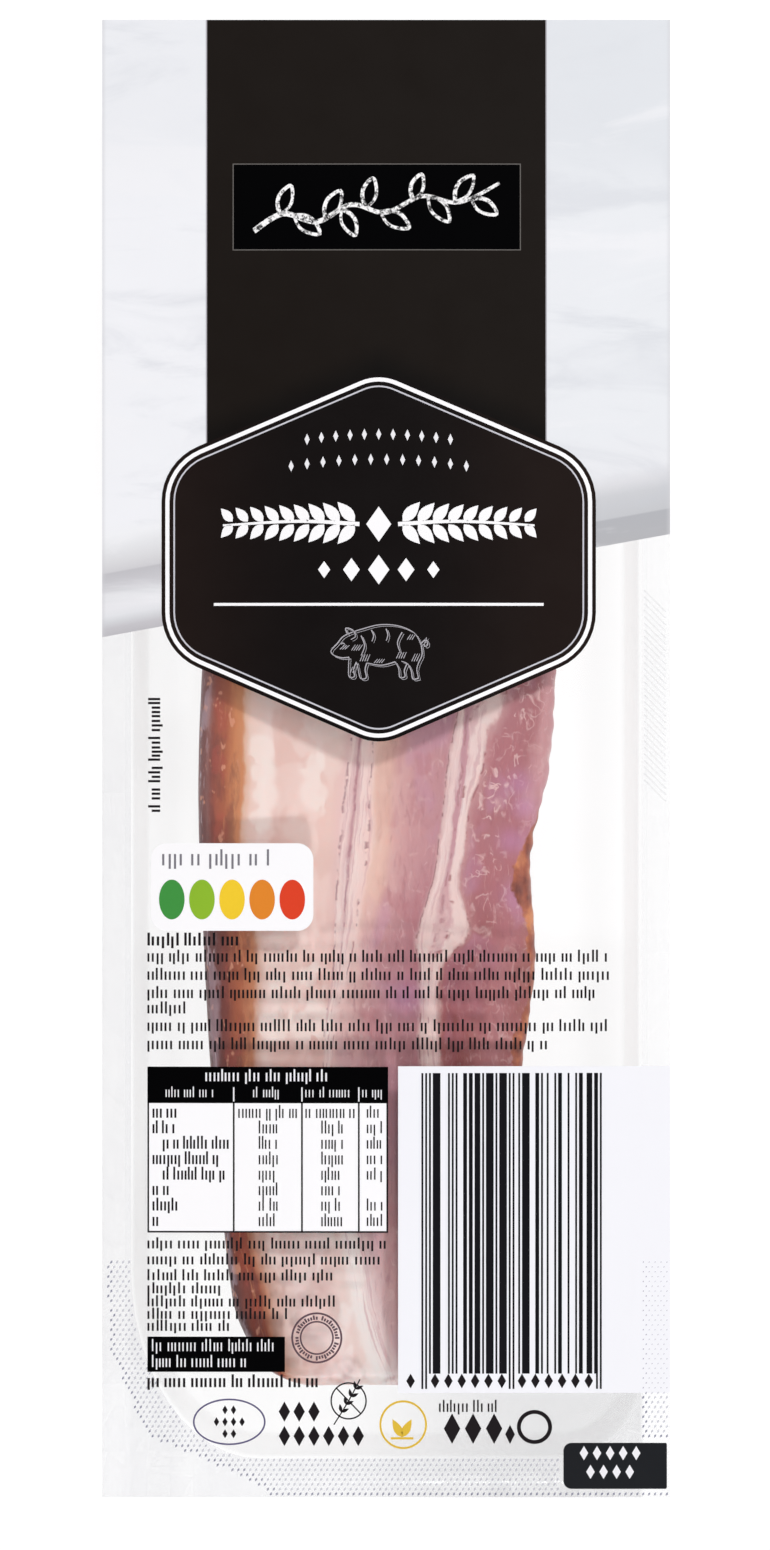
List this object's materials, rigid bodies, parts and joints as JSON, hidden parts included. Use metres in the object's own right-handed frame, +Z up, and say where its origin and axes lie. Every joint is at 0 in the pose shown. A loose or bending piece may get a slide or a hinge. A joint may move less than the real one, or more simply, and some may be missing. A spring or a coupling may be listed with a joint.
{
  "type": "bacon pack",
  "caption": "Clear formed tray with a printed, partly clear lid film sealed over one chunk of smoked bacon.",
  "frame": {"origin": "middle of the pack's footprint, on the surface that the tray's base rests on", "axes": "+Y along the pack towards the end that is printed all over, +Z up out of the lid, +X to the right seen from above"},
  "size_m": [0.1, 0.26, 0.0279],
  "materials": {
    "clear_tray": "clear, glossy formed plastic sheet",
    "bacon": "moist cut meat and fat with a smoked rind",
    "printed_lid": "glossy printed film, clear over the meat"
  },
  "bodies": {
    "root": {"tray": "clear_tray", "bacon_chunk": "bacon", "lid_film": "printed_lid"}
  },
  "joints": []
}
